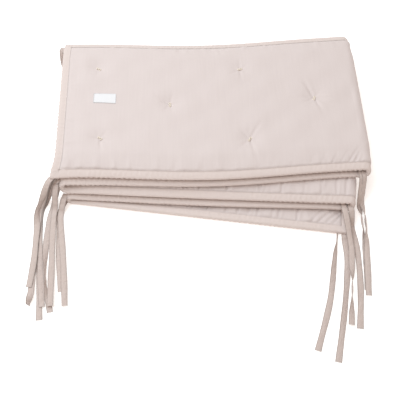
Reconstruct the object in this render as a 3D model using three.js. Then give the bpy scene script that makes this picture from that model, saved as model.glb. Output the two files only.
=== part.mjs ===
// A crib bumper, folded away. One long quilted panel with a bound edge is folded back and
// forth into five sections that lie on each other, with its tie tapes hanging from the near
// edge and lying on the surface. Millimetres, +Z up. The origin is on the surface, under a
// flat spot near the middle of the stack: +X runs along the sections, and the near edge
// faces -Y.
import * as THREE from 'three';

// Quilted panel: one filled solid, thinner at its stitched rim and where it is folded.
const PANEL_WIDTH = 330;        // near rim to far rim, as it lies
const LOFT = 15.5;              // thickness of the filled middle of a section
const FOLD_LOFT = 10;           // thickness round a fold, where the filling is squeezed
const RIM_LOFT = 6.4;           // thickness at the rim, inside the binding
const RIM_ZONE = 50;            // distance from the rim over which a section thins and droops
const FOLD_ZONE = 45;           // distance from a fold over which the filling is squeezed
const FOLD_LENGTH = 33;         // length of panel in the half circle of each fold
const LOOP_SWELL = 2.75;        // how far a section moves off its level to open a fold's loop
const BOTTOM_RIM_LIFT = 2.9;    // height of the lowest rim above the surface
const CORNER_PULL = { reach: 24, outwards: 9, nearwards: 2 };
const SURFACE_SNAP = 0.35;      // an underside closer to the surface than this lies flat on it
const FLAT_SPOT = { x: -25, y: -9 };  // where the underside lies flat on the surface

// The sections from the top one down. X and Y are the ends of the near rim, at the folds'
// centres or at a bound end; level is the middle height, the near and far columns are the
// heights of the drooping rims, and bow is how far the near rim curves out towards -Y in its middle.
const SECTIONS = [
  {
    left: [-300, -163.5], right: [293, -165.5], level: 76,
    nearLeft: 62.5, nearRight: 68.5, farLeft: 64, farRight: 70, bow: 13,
  },
  {
    left: [-284, -172.5], right: [293, -171.5], level: 59,
    nearLeft: 47, nearRight: 55, farLeft: 49, farRight: 55, bow: 11.5,
  },
  {
    left: [-284, -180], right: [262, -220], level: 42,
    nearLeft: 31, nearRight: 34, farLeft: 33, farRight: 33, bow: 1,
  },
  {
    left: [-278, -186.5], right: [262, -226], level: 25,
    nearLeft: 16.2, nearRight: 21.5, farLeft: 19, farRight: 19, bow: 3,
  },
  {
    left: [-278, -189.5], right: [256, -270.8], level: 0,
    nearLeft: 0, nearRight: 0, farLeft: 0, farRight: 0, bow: 0,
  },
];
// Turn of the across direction, clockwise from above, at the first end, each fold and the last end.
const STATION_TURNS = [-0.5, 0.5, 2.5, 5, 7, 7.5];
// Share of the panel's width that it lies out to at the same places.
const STATION_SPREADS = [0.988, 1.012, 1, 1, 1, 1];

// Tufts: stitched points in a quincunx that pull both faces together.
const TUFT_PITCH = 146;         // between columns of tufts
const TUFT_ROWS = { near: 77, middle: 165, far: 253 };
const NEAR_ROW_SHIFT = 9;       // how far on along the panel the near row is set
const TUFT_SPREAD = 19;         // radius of the hollow round a tuft
const TUFT_DEPTH = 0.55;        // share of the loft that a tuft takes away

// Mesh lines, beside those at folds, tufts and the tape's inner edge.
const FOLD_STEPS = 6;           // steps round each fold
const FOLD_APPROACH = 18;       // line before and after a fold
const RIM_LINE = 29;            // line inside the rim
const LINE_SPACING = 5;         // least distance between lines

// Edge binding: a tape folded round the rim, with a flat face on both sides.
const BINDING_FACE = 12;        // width of the tape on each face
const BINDING_CLOTH = 1;        // thickness of the folded tape
const BINDING_BULGE = 3.2;      // how far the turned edge stands out from the rim
const BINDING_GAP = 0.35;       // clearance between the panel's faces and the tape
const BINDING_RIM_GAP = 0.85;   // clearance between the panel's rim and the fold of the tape
const BINDING_SHOULDER = 0.6;   // share of the rim's half thickness at which the fold rounds off

// Label: a bare woven patch, sewn to the top face.
const LABEL = { along: 88.5, across: 172.5, length: 45, width: 24, cloth: 0.5, gap: 0.35, turn: -1 };

// Tie tapes.
const TIE_WIDTH = 12;
const TIE_CLOTH = 1;
const TIE_LIFT = 1.6;           // height of one tape lying on another

const DEGREE = Math.PI / 180;
const clampUnit = (value) => Math.min(1, Math.max(0, value));
const mix = (a, b, share) => a + (b - a) * share;
const easeInOut = (share) => share * share * (3 - 2 * share);
// One at a border, falling to nothing at the reach, steepest at the border.
const borderFall = (distance, reach) => (1 - clampUnit(distance / reach)) ** 2;
// One at a border, falling to nothing at the reach, level at both.
const easedFall = (distance, reach) => 1 - easeInOut(clampUnit(distance / reach));

// ---- The panel's path: straight sections joined by half circles ----

const runs = layOutRuns();
const PANEL_LENGTH = runs[runs.length - 1].end;

function layOutRuns() {
  const list = [];
  let reached = 0;
  SECTIONS.forEach((row, index) => {
    const goesRight = index % 2 === 0;
    const from = new THREE.Vector2(...(goesRight ? row.left : row.right));
    const to = new THREE.Vector2(...(goesRight ? row.right : row.left));
    const sectionEnd = reached + from.distanceTo(to);
    list.push({ kind: 'section', index, row, from, to, goesRight, start: reached, end: sectionEnd });
    reached = sectionEnd;
    if (index < SECTIONS.length - 1) {
      const side = goesRight ? 1 : -1;
      list.push({ kind: 'fold', index, side, start: reached, end: reached + FOLD_LENGTH });
      reached += FOLD_LENGTH;
    }
  });
  return list;
}

function runAt(along) {
  return runs.find((run) => along <= run.end) ?? runs[runs.length - 1];
}

function foldNearness(along) {
  let nearness = 0;
  for (const run of runs) {
    if (run.kind !== 'fold') continue;
    const distance = Math.max(run.start - along, along - run.end, 0);
    nearness = Math.max(nearness, easedFall(distance, FOLD_ZONE));
  }
  return nearness;
}

function insetFromRim(along, across) {
  return Math.min(across, PANEL_WIDTH - across, along, PANEL_LENGTH - along);
}

// Half the panel's thickness, before the tufts.
function halfLoft(along, across) {
  const full = mix(LOFT, FOLD_LOFT, foldNearness(along)) / 2;
  const share = easeInOut(clampUnit(insetFromRim(along, across) / RIM_ZONE));
  return mix(RIM_LOFT / 2, full, share);
}

function sectionHeight(run, share, along, across) {
  const { row, index } = run;
  const nearFall = borderFall(across, RIM_ZONE);
  const farFall = borderFall(PANEL_WIDTH - across, RIM_ZONE);
  if (index === SECTIONS.length - 1) {
    const endFall = borderFall(PANEL_LENGTH - along, RIM_ZONE);
    return halfLoft(along, across) + BOTTOM_RIM_LIFT * Math.max(nearFall, farFall, endFall);
  }
  const rightShare = run.goesRight ? share : 1 - share;
  const nearRim = mix(row.nearLeft, row.nearRight, rightShare);
  const farRim = mix(row.farLeft, row.farRight, rightShare);
  const sag = (nearRim - row.level) * nearFall + (farRim - row.level) * farFall;
  const rimShare = 1 - Math.max(nearFall, farFall) / 2;
  const rise = LOOP_SWELL * easedFall(run.end - along, FOLD_ZONE) * rimShare;
  const dip = index > 0 ? LOOP_SWELL * easedFall(along - run.start, FOLD_ZONE) * rimShare : 0;
  return row.level + sag + rise - dip;
}

function onSection(run, along, across) {
  const share = (along - run.start) / (run.end - run.start);
  const turn = mix(STATION_TURNS[run.index], STATION_TURNS[run.index + 1], share) * DEGREE;
  const spread = mix(STATION_SPREADS[run.index], STATION_SPREADS[run.index + 1], share);
  const bow = run.row.bow * Math.sin(Math.PI * share) ** 2;
  return new THREE.Vector3(
    mix(run.from.x, run.to.x, share) + across * spread * Math.sin(turn),
    mix(run.from.y, run.to.y, share) + across * spread * Math.cos(turn) - bow,
    sectionHeight(run, share, along, across),
  );
}

function onFold(run, along, across) {
  const place = runs.indexOf(run);
  const upper = onSection(runs[place - 1], runs[place - 1].end, across);
  const lower = onSection(runs[place + 1], runs[place + 1].start, across);
  const angle = (Math.PI * (along - run.start)) / (run.end - run.start);
  const radius = (upper.z - lower.z) / 2;
  const turn = STATION_TURNS[run.index + 1] * DEGREE;
  const outwards = run.side * radius * Math.sin(angle);
  const point = upper.clone().lerp(lower, (1 - Math.cos(angle)) / 2);
  point.x += outwards * Math.cos(turn);
  point.y -= outwards * Math.sin(turn);
  return point;
}

// The middle surface of the panel, at a distance along its length and across its width.
function middlePoint(along, across) {
  const run = runAt(along);
  const point = run.kind === 'fold' ? onFold(run, along, across) : onSection(run, along, across);
  const corner = Math.exp(-((along / CORNER_PULL.reach) ** 2) - (across / CORNER_PULL.reach) ** 2);
  point.x -= CORNER_PULL.outwards * corner;
  point.y -= CORNER_PULL.nearwards * corner;
  return point;
}

// Directions at a point of the panel: along its length, across its width, and out of its face.
function frameAt(along, across) {
  const step = 0.5;
  const alongLow = Math.max(0, along - step);
  const alongHigh = Math.min(PANEL_LENGTH, along + step);
  const acrossLow = Math.max(0, across - step);
  const acrossHigh = Math.min(PANEL_WIDTH, across + step);
  const forward = middlePoint(alongHigh, across).sub(middlePoint(alongLow, across)).normalize();
  const sideways = middlePoint(along, acrossHigh).sub(middlePoint(along, acrossLow)).normalize();
  const face = forward.clone().cross(sideways).normalize();
  return { forward, sideways, face };
}

function tuftPull(along, across) {
  const column = Math.round(along / TUFT_PITCH - 0.5);
  const rows = column % 2 === 0 ? [TUFT_ROWS.near, TUFT_ROWS.far] : [TUFT_ROWS.middle];
  const distances = rows.map((row) => {
    const shift = row === TUFT_ROWS.near ? NEAR_ROW_SHIFT : 0;
    return Math.hypot(along - (column + 0.5) * TUFT_PITCH - shift, across - row);
  });
  const nearest = Math.min(...distances) / TUFT_SPREAD;
  return Math.exp(-(nearest ** 2)) * (1 - foldNearness(along));
}

// A point on the panel's skin: side 1 is the face with the label, side -1 the other face.
function skinPoint(along, across, side, lift = 0) {
  const half = halfLoft(along, across) * (1 - TUFT_DEPTH * tuftPull(along, across));
  const { face } = frameAt(along, across);
  const point = middlePoint(along, across).addScaledVector(face, side * (half + lift));
  if (lift === 0 && point.z < SURFACE_SNAP) point.z = 0;
  return point;
}

// ---- Mesh lines ----

// Sorted lines, without those closer than the spacing to a line that comes earlier in the list.
function thinOut(lines, spacing) {
  const kept = [];
  for (const line of lines) {
    if (kept.every((other) => Math.abs(other - line) >= spacing)) kept.push(line);
  }
  return kept.sort((a, b) => a - b);
}

function alongLines() {
  const lines = [0, BINDING_FACE, PANEL_LENGTH - BINDING_FACE, PANEL_LENGTH];
  const approach = [FOLD_APPROACH, FOLD_ZONE];
  for (const run of runs) {
    if (run.kind !== 'fold') continue;
    for (let step = 0; step <= FOLD_STEPS; step += 1) {
      lines.push(mix(run.start, run.end, step / FOLD_STEPS));
    }
    for (const distance of approach) lines.push(run.start - distance, run.end + distance);
  }
  const fixed = thinOut(lines, LINE_SPACING);
  const tuftLines = [];
  for (let along = TUFT_PITCH / 2; along < PANEL_LENGTH; along += TUFT_PITCH) {
    tuftLines.push(along, along - TUFT_SPREAD, along + TUFT_SPREAD);
  }
  for (let along = TUFT_PITCH; along < PANEL_LENGTH; along += TUFT_PITCH) tuftLines.push(along);
  const inSection = (along) => runs.some((run) => run.kind === 'section'
    && along > run.start + (run.index > 0 ? FOLD_ZONE : BINDING_FACE)
    && along < run.end - (run.index < SECTIONS.length - 1 ? FOLD_ZONE : BINDING_FACE));
  return thinOut([...fixed, ...tuftLines.filter(inSection)], LINE_SPACING);
}

function acrossLines() {
  const rimLines = [0, BINDING_FACE, RIM_LINE];
  const lines = [...rimLines, ...rimLines.map((line) => PANEL_WIDTH - line)];
  for (const row of Object.values(TUFT_ROWS)) lines.push(row, row - TUFT_SPREAD, row + TUFT_SPREAD);
  lines.push((TUFT_ROWS.near + TUFT_ROWS.middle) / 2, (TUFT_ROWS.far + TUFT_ROWS.middle) / 2);
  return lines.sort((a, b) => a - b);
}

// ---- Mesh builders ----

function meshFrom(name, material, points, triangles) {
  const positions = new Float32Array(points.flatMap((point) => [point.x, point.y, point.z]));
  const geometry = new THREE.BufferGeometry();
  geometry.setAttribute('position', new THREE.BufferAttribute(positions, 3));
  geometry.setIndex(triangles.flat());
  geometry.computeVertexNormals();
  const mesh = new THREE.Mesh(geometry, material);
  mesh.name = name;
  return mesh;
}

// A closed skin from rings of equal size, joined in order. Two triangles fill each four-sided
// cell, split the other way at the ring corners in splitBack, and a cell side that has shrunk
// to a point leaves one triangle out.
function loftRings(name, material, rings, { closed, splitBack = [] }) {
  const size = rings[0].length;
  const points = rings.flat();
  const triangles = [];
  const addTriangle = (a, b, c) => {
    const same = (p, q) => points[p].distanceToSquared(points[q]) < 1e-8;
    if (!same(a, b) && !same(b, c) && !same(a, c)) triangles.push([a, b, c]);
  };
  const ringPairs = closed ? rings.length : rings.length - 1;
  for (let ring = 0; ring < ringPairs; ring += 1) {
    const next = (ring + 1) % rings.length;
    for (let corner = 0; corner < size; corner += 1) {
      const following = (corner + 1) % size;
      const a = ring * size + corner;
      const b = ring * size + following;
      const c = next * size + following;
      const d = next * size + corner;
      if (splitBack.includes(corner)) {
        addTriangle(a, b, d);
        addTriangle(b, c, d);
      } else {
        addTriangle(a, b, c);
        addTriangle(a, c, d);
      }
    }
  }
  if (!closed) {
    const last = (rings.length - 1) * size;
    for (let corner = 1; corner < size - 1; corner += 1) {
      addTriangle(0, corner + 1, corner);
      addTriangle(last, last + corner, last + corner + 1);
    }
  }
  return meshFrom(name, material, points, triangles);
}

// A closed body from a grid of points on its upper skin and one on its lower skin. Cells are
// split as the binding splits the same cells, from the rim forwards to the tape's inner edge.
function closeGrids(name, material, upper, lower) {
  const rows = upper.length;
  const columns = upper[0].length;
  const points = [...upper.flat(), ...lower.flat()];
  const at = (row, column, below) => (below ? rows * columns : 0) + row * columns + column;
  const triangles = [];
  for (let row = 0; row < rows - 1; row += 1) {
    for (let column = 0; column < columns - 1; column += 1) {
      const endCell = row === 0 || row === rows - 2;
      const startCorner = row === 0 && column === 0;
      const finishCorner = row === rows - 2 && column === columns - 2;
      const splitForwards = !endCell || startCorner || finishCorner;
      for (const below of [false, true]) {
        const a = at(row, column, below);
        const b = at(row + 1, column, below);
        const c = at(row + 1, column + 1, below);
        const d = at(row, column + 1, below);
        const pair = splitForwards ? [[a, b, c], [a, c, d]] : [[a, b, d], [b, c, d]];
        for (const [p, q, r] of pair) triangles.push(below ? [p, r, q] : [p, q, r]);
      }
    }
  }
  const rim = [];
  for (let row = 0; row < rows; row += 1) rim.push([row, 0]);
  for (let column = 1; column < columns; column += 1) rim.push([rows - 1, column]);
  for (let row = rows - 2; row >= 0; row -= 1) rim.push([row, columns - 1]);
  for (let column = columns - 2; column > 0; column -= 1) rim.push([0, column]);
  rim.forEach(([row, column], index) => {
    const [nextRow, nextColumn] = rim[(index + 1) % rim.length];
    const a = at(row, column, false);
    const b = at(nextRow, nextColumn, false);
    const c = at(nextRow, nextColumn, true);
    const d = at(row, column, true);
    triangles.push([a, d, c], [a, c, b]);
  });
  return meshFrom(name, material, points, triangles);
}

// ---- The pieces ----

const cloth = (color, roughness) => new THREE.MeshStandardMaterial({ color, roughness, metalness: 0 });
const panelCloth = cloth(0xe5dbd6, 0.9);
const bindingCloth = cloth(0xecdfd6, 0.85);
const tieCloth = cloth(0xdaccc5, 0.85);
const labelCloth = cloth(0xf6f5f4, 0.7);

function quiltedPanel() {
  const columns = acrossLines();
  const rows = alongLines();
  const skin = (side) => rows.map((along) => columns.map((across) => skinPoint(along, across, side)));
  return closeGrids('quilted_panel', panelCloth, skin(1), skin(-1));
}

// The rim's stations in order, each with the rim point and the point under the tape's inner edge.
function rimStations() {
  const alongs = alongLines();
  const acrosses = acrossLines();
  const within = (value, size) => Math.min(size - BINDING_FACE, Math.max(BINDING_FACE, value));
  const station = (along, across) => ({
    along,
    across,
    insetAlong: within(along, PANEL_LENGTH),
    insetAcross: within(across, PANEL_WIDTH),
  });
  return [
    ...alongs.slice(0, -1).map((along) => station(along, 0)),
    ...acrosses.slice(0, -1).map((across) => station(PANEL_LENGTH, across)),
    ...alongs.slice(1).reverse().map((along) => station(along, PANEL_WIDTH)),
    ...acrosses.slice(1).reverse().map((across) => station(0, across)),
  ];
}

function outwardsAt(along, across) {
  const { forward, sideways } = frameAt(along, across);
  const outwards = new THREE.Vector3();
  if (across === 0) outwards.sub(sideways);
  if (across === PANEL_WIDTH) outwards.add(sideways);
  if (along === 0) outwards.sub(forward);
  if (along === PANEL_LENGTH) outwards.add(forward);
  return outwards;
}

// The tape's cross-section at one station, as a closed ring of points.
function bindingRing(station) {
  const { along, across, insetAlong, insetAcross } = station;
  const rim = middlePoint(along, across);
  const rimFace = frameAt(along, across).face;
  const outwards = outwardsAt(along, across);
  const inset = middlePoint(insetAlong, insetAcross);
  const insetFace = frameAt(insetAlong, insetAcross).face;
  const rimHalf = RIM_LOFT / 2;
  const insetHalf = halfLoft(insetAlong, insetAcross);
  const tape = BINDING_GAP + BINDING_CLOTH;
  const onRim = (out, up) => rim.clone().addScaledVector(outwards, out).addScaledVector(rimFace, up);
  const onInset = (up) => inset.clone().addScaledVector(insetFace, up);
  const shoulder = rimHalf * BINDING_SHOULDER;
  return [
    onInset(insetHalf + tape),
    onRim(BINDING_RIM_GAP, rimHalf + tape),
    onRim(BINDING_BULGE, shoulder),
    onRim(BINDING_BULGE, -shoulder),
    onRim(BINDING_RIM_GAP, -rimHalf - tape),
    onInset(-insetHalf - tape),
    onInset(-insetHalf - BINDING_GAP),
    onRim(BINDING_RIM_GAP, -rimHalf - BINDING_GAP),
    onRim(BINDING_RIM_GAP, rimHalf + BINDING_GAP),
    onInset(insetHalf + BINDING_GAP),
  ];
}

function edgeBinding() {
  const upperOuterFace = 0;
  const lowerInnerFace = 6;
  const innerEdge = 7;
  return loftRings('edge_binding', bindingCloth, rimStations().map(bindingRing), {
    closed: true,
    splitBack: [upperOuterFace, lowerInnerFace, innerEdge],
  });
}

function sewnLabel() {
  const rowShares = [0, 0.33, 0.67, 1];
  const columnShares = [0, 0.5, 1];
  const turn = LABEL.turn * DEGREE;
  const skin = (lift) => rowShares.map((rowShare) => columnShares.map((columnShare) => {
    const lengthways = (rowShare - 0.5) * LABEL.length;
    const widthways = (columnShare - 0.5) * LABEL.width;
    const along = LABEL.along + lengthways * Math.cos(turn) - widthways * Math.sin(turn);
    const across = LABEL.across + lengthways * Math.sin(turn) + widthways * Math.cos(turn);
    return skinPoint(along, across, 1, lift);
  }));
  return closeGrids('label', labelCloth, skin(LABEL.gap + LABEL.cloth), skin(LABEL.gap));
}

// The tie tapes: root is where a tape leaves the near edge, and knee where it meets the
// surface, on which bend, middle and tip lie. Rolls are its turns about its own length, in
// degrees, at the knee, bend, middle and tip. Layer is how many tapes it lies on.
const TIES = [
  {
    name: 'tie_top_end_a', root: [-311.8, -169.3, 61.6], knee: [-340, -203],
    bend: [-341, -250], middle: [-341, -315], tip: [-345, -367], rolls: [0, 0, 0, 0], layer: 3,
  },
  {
    name: 'tie_top_end_b', root: [-310.0, -166.8, 58.1], knee: [-338, -199],
    bend: [-340, -250], middle: [-341, -374], tip: [-342, -403], rolls: [0, 0, 0, 70], layer: 2,
  },
  {
    name: 'tie_top_end_c', root: [-307.0, -166.1, 57.2], knee: [-336, -196],
    bend: [-337, -252], middle: [-330, -315], tip: [-319, -404], rolls: [0, 0, 0, 0], layer: 1,
  },
  {
    name: 'tie_top_end_d', root: [-300.6, -164.0, 48.3], knee: [-334, -192],
    bend: [-337, -252], middle: [-330, -330], tip: [-322, -428], rolls: [0, 0, 0, 0], layer: 0,
  },
  {
    name: 'tie_second_fold_a', root: [-297.3, -177.6, 41.2], knee: [-308, -210],
    bend: [-307, -250], middle: [-304, -325], tip: [-300, -404], rolls: [0, 0, 0, 0], layer: 3,
  },
  {
    name: 'tie_second_fold_b', root: [-299.8, -176.1, 36.2], knee: [-321, -206],
    bend: [-322, -262], middle: [-316, -350], tip: [-304, -414], rolls: [0, 0, 85, 0], layer: 0,
  },
  {
    name: 'tie_fourth_fold_a', root: [-290.3, -188.9, 14.4], knee: [-298, -213],
    bend: [-296, -245], middle: [-286, -320], tip: [-278, -403], rolls: [0, 0, 0, 0], layer: 1,
  },
  {
    name: 'tie_fourth_fold_b', root: [-290.1, -188.6, 9.8], knee: [-300, -207],
    bend: [-299, -250], middle: [-294, -320], tip: [-287, -375], rolls: [0, 0, 0, 0], layer: 0,
  },
  {
    name: 'tie_first_fold_a', root: [284.9, -174.8, 57.7], knee: [290, -215],
    bend: [290, -244], middle: [287, -315], tip: [279, -387], rolls: [0, 90, 0, 0], layer: 0,
  },
  {
    name: 'tie_first_fold_b', root: [299.0, -174.5, 56.7], knee: [302.5, -209],
    bend: [298, -246], middle: [289, -315], tip: [279, -398], rolls: [0, 90, 0, 0], layer: 1,
  },
  {
    name: 'tie_third_fold_a', root: [254.0, -227.8, 25.5], knee: [260, -298],
    bend: [256, -335], middle: [249, -385], tip: [238, -454], rolls: [0, 0, 90, 0], layer: 3,
  },
  {
    name: 'tie_third_fold_b', root: [267.6, -229.1, 23.5], knee: [269, -262],
    bend: [272, -305], middle: [267, -380], tip: [254, -460], rolls: [0, 0, 0, 0], layer: 0,
  },
  {
    name: 'tie_last_end_a', root: [238.8, -272.1, 7.5], knee: [235, -288],
    bend: [227, -320], middle: [207, -405], tip: [173, -498], rolls: [80, 35, 0, 0], layer: 0,
  },
  {
    name: 'tie_last_end_b', root: [251.6, -274.4, 4.2], knee: [251, -285],
    bend: [250, -330], middle: [236, -415], tip: [209, -519], rolls: [0, 0, 20, 0], layer: 0,
  },
];

// The tie at the far corner of the top section is crumpled into the gap beside the folds.
const FAR_TIE = {
  stops: [
    [-304.8, 151, 58.9], [-312, 155, 54.5], [-307.5, 138, 45], [-309.5, 126, 35],
    [-301, 117, 18], [-292, 104, 5], [-287, 84, 1.7], [-281, 50, 1],
  ],
  rolls: [20, 60, 35, 0],
  rollShares: [0, 0.25, 0.5, 0.75],
};

// A tape of even width along a centre line, turned about it. Both are functions of the share
// of the tape's length, and shares are where its cross-sections lie.
function tape(name, centreAt, rollAt, shares) {
  const up = new THREE.Vector3(0, 0, 1);
  const nudge = 0.004;
  const rings = shares.map((share) => {
    const centre = centreAt(share);
    const before = centreAt(Math.max(0, share - nudge));
    const after = centreAt(Math.min(1, share + nudge));
    const forward = after.sub(before).normalize();
    const sideways = forward.clone().cross(up).normalize();
    const faceUp = sideways.clone().cross(forward);
    const roll = rollAt(share);
    const wide = sideways.multiplyScalar(Math.cos(roll)).addScaledVector(faceUp, Math.sin(roll));
    const thick = wide.clone().cross(forward);
    const corner = (across, out) => centre.clone()
      .addScaledVector(wide, (across * TIE_WIDTH) / 2)
      .addScaledVector(thick, (out * TIE_CLOTH) / 2);
    return [corner(1, 1), corner(1, -1), corner(-1, -1), corner(-1, 1)];
  });
  const lowerFace = 1;
  return loftRings(name, tieCloth, rings, { closed: false, splitBack: [lowerFace] });
}

// A roll that eases from one value to the next between the stops.
function easedRolls(rolls, stopShares) {
  return (share) => {
    let roll = rolls[0];
    for (let stop = 1; stop < rolls.length; stop += 1) {
      const before = stopShares[stop - 1];
      const within = clampUnit((share - before) / (stopShares[stop] - before));
      roll = mix(roll, rolls[stop], easeInOut(within));
    }
    return roll * DEGREE;
  };
}

function tieTape(row) {
  const [rootX, rootY, rootHeight] = row.root;
  const stops = [[rootX, rootY], row.knee, row.bend, row.middle, row.tip];
  const stopPoints = stops.map(([x, y]) => new THREE.Vector3(x, y, 0));
  const plan = new THREE.CatmullRomCurve3(stopPoints, false, 'centripetal');
  const reached = [0];
  for (let stop = 1; stop < stops.length; stop += 1) {
    reached.push(reached[stop - 1] + stopPoints[stop].distanceTo(stopPoints[stop - 1]));
  }
  const total = reached[reached.length - 1];
  const stopShares = reached.map((distance) => distance / total);
  const rollAt = easedRolls(row.rolls, stopShares.slice(1));
  const centreAt = (share) => {
    const roll = rollAt(share);
    const height = Math.abs(Math.sin(roll)) * TIE_WIDTH + Math.abs(Math.cos(roll)) * TIE_CLOTH;
    const point = plan.getPointAt(clampUnit(share));
    point.z = mix(row.layer * TIE_LIFT + height / 2, rootHeight, easedFall(share, stopShares[1]));
    return point;
  };
  const dropSteps = 7;
  const lyingSteps = 17;
  const shares = [];
  for (let step = 0; step < dropSteps; step += 1) {
    shares.push((stopShares[1] * step) / dropSteps);
  }
  for (let step = 0; step <= lyingSteps; step += 1) {
    shares.push(mix(stopShares[1], 1, step / lyingSteps));
  }
  return tape(row.name, centreAt, rollAt, shares);
}

function farTie() {
  const stops = FAR_TIE.stops.map((stop) => new THREE.Vector3(...stop));
  const route = new THREE.CatmullRomCurve3(stops, false, 'centripetal');
  const rollAt = easedRolls(FAR_TIE.rolls, FAR_TIE.rollShares);
  const steps = 18;
  const shares = Array.from({ length: steps + 1 }, (_, step) => step / steps);
  return tape('tie_far_corner', (share) => route.getPointAt(share), rollAt, shares);
}

const bumper = new THREE.Group();
bumper.name = 'crib_bumper';
bumper.add(quiltedPanel(), edgeBinding(), sewnLabel(), ...TIES.map(tieTape), farTie());
bumper.position.set(-FLAT_SPOT.x, -FLAT_SPOT.y, 0);

export default bumper;
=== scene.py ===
"""A crib bumper, folded away and lying on a table with its tie tapes in front of it.

One long quilted panel with a bound edge is folded back and forth into five sections. Metres, +Z up.
"""

import math

import bpy
import numpy as np
from mathutils import Matrix, Vector


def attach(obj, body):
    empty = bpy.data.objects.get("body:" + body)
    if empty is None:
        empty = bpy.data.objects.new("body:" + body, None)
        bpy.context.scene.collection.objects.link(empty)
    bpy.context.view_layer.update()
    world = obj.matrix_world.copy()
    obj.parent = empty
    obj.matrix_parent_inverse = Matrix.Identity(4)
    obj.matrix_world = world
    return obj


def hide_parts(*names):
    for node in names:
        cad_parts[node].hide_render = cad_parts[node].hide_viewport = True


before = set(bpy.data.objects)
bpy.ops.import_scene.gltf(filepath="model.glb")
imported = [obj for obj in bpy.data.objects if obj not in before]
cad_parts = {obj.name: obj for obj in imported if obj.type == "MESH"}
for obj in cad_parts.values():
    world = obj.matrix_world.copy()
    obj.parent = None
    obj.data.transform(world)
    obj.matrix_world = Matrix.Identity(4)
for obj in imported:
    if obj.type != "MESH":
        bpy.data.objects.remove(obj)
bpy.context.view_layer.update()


# ---- Table, light and camera ----
# A white table top, an even warm sky over it, and one large soft lamp high up over the left side
# of the bumper. The camera looks down at the near edge at about sixty degrees.

TABLE_SIZE = 8.0
TABLE_DEPTH = 0.0004     # below the lowest cloth
TABLE_COLOUR = (0.85, 0.85, 0.85)
TABLE_ROUGHNESS = 0.9
GLOW_COLOUR = (1.0, 0.97, 0.94)
GLOW_STRENGTH = 0.46     # the table top is lit from below, as a light table is
SKY_COLOUR = (1.0, 0.865, 0.775)
SKY_STRENGTH = 0.56
LAMP_COLOUR = (0.83, 0.935, 1.0)
LAMP_POWER = 53
LAMP_SIZE = (2.4, 1.8)
LAMP_PLACE = Vector((-0.85, 0.28, 2.2))
LAMP_AIM = Vector((0, -0.1, 0))
CAMERA_PLACE = Vector((-0.033, -0.796, 1.106))
CAMERA_ELEVATION = 60.81
CAMERA_AZIMUTH = -3.04
CAMERA_ROLL = 1.39
FOCAL_SHARE = 1.59       # focal length over the picture's width
SENSOR_WIDTH = 36
FAR_CLIP = 50


def add_object(name, data):
    """An object that shows a mesh, a lamp or a camera, put in the scene at the origin."""
    added = bpy.data.objects.new(name, data)
    bpy.context.scene.collection.objects.link(added)
    return added


def new_material(name, values):
    """A material whose main shader has the values, which are named by its inputs."""
    material = bpy.data.materials.new(name)
    material.use_nodes = True
    fill_inputs(material.node_tree.nodes["Principled BSDF"], values)
    return material


def fill_inputs(node, values):
    """Give a shader node's inputs their values, by name."""
    for name, value in values.items():
        node.inputs[name].default_value = value
    return node


table_mesh = bpy.data.meshes.new("table_top")
table_mesh.from_pydata([(x * TABLE_SIZE / 2, y * TABLE_SIZE / 2, -TABLE_DEPTH)
                        for x, y in ((-1, -1), (1, -1), (1, 1), (-1, 1))], [], [(0, 1, 2, 3)])
table_mesh.materials.append(new_material("table_paint", {
    "Base Color": (*TABLE_COLOUR, 1), "Roughness": TABLE_ROUGHNESS,
    "Emission Color": (*GLOW_COLOUR, 1), "Emission Strength": GLOW_STRENGTH}))
table_top = add_object("table_top", table_mesh)

sky = bpy.data.worlds.new("even_sky")
sky.use_nodes = True
fill_inputs(sky.node_tree.nodes["Background"],
            {"Color": (*SKY_COLOUR, 1), "Strength": SKY_STRENGTH})
bpy.context.scene.world = sky

lamp_data = bpy.data.lights.new("soft_lamp", "AREA")
lamp_data.shape = "RECTANGLE"
lamp_data.size, lamp_data.size_y = LAMP_SIZE
lamp_data.energy = LAMP_POWER
lamp_data.color = LAMP_COLOUR
lamp = add_object("soft_lamp", lamp_data)
lamp.location = LAMP_PLACE
lamp.rotation_euler = (LAMP_AIM - LAMP_PLACE).to_track_quat("-Z", "Y").to_euler()

camera_data = bpy.data.cameras.new("camera")
camera_data.sensor_width = SENSOR_WIDTH
camera_data.lens = FOCAL_SHARE * SENSOR_WIDTH
camera_data.clip_end = FAR_CLIP
camera = add_object("camera", camera_data)
camera.matrix_world = (
    Matrix.Translation(CAMERA_PLACE)
    @ Matrix.Rotation(np.radians(CAMERA_AZIMUTH), 4, "Z")
    @ Matrix.Rotation(np.radians(90 - CAMERA_ELEVATION), 4, "X")
    @ Matrix.Rotation(np.radians(CAMERA_ROLL), 4, "Z"))
bpy.context.scene.camera = camera
bpy.context.scene.view_settings.view_transform = "Standard"


# ---- Quilted panel ----
# Two faces of plain-woven cotton with polyester wadding between them, tufted in a quincunx and
# gathered along the stitching of its edge. It is folded like a concertina, so that five sections
# lie on each other, and each thins and droops at its edge and where it folds.

PANEL_WIDTH = 0.33
LOFT = 0.0155            # thickness of the filled middle of a section
FOLD_LOFT = 0.01         # thickness round a fold
RIM_LOFT = 0.0064        # thickness inside the binding
RIM_ZONE = 0.05          # distance from the edge over which a section thins and droops
FOLD_ZONE = 0.045        # distance from a fold over which the filling is squeezed
FOLD_LENGTH = 0.033      # length of panel in the half circle of a fold
LOOP_SWELL = 0.00275     # how far a section moves off its level to open a fold's loop
BOTTOM_RIM_LIFT = 0.0029  # how far the bottom section's rim curls up off the table
CORNER_REACH = 0.024     # the first corner is pulled out by its ties over this distance
CORNER_PULL = np.array((-0.009, -0.002, 0.0))
FLAT_SPOT = np.array((-0.025, -0.009, 0.0))  # the spot under the stack that becomes the origin
SURFACE_SNAP = 0.00035   # an underside closer to the table than this lies flat on it
BINDING_FACE = 0.012     # width of the edge tape on each face

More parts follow.
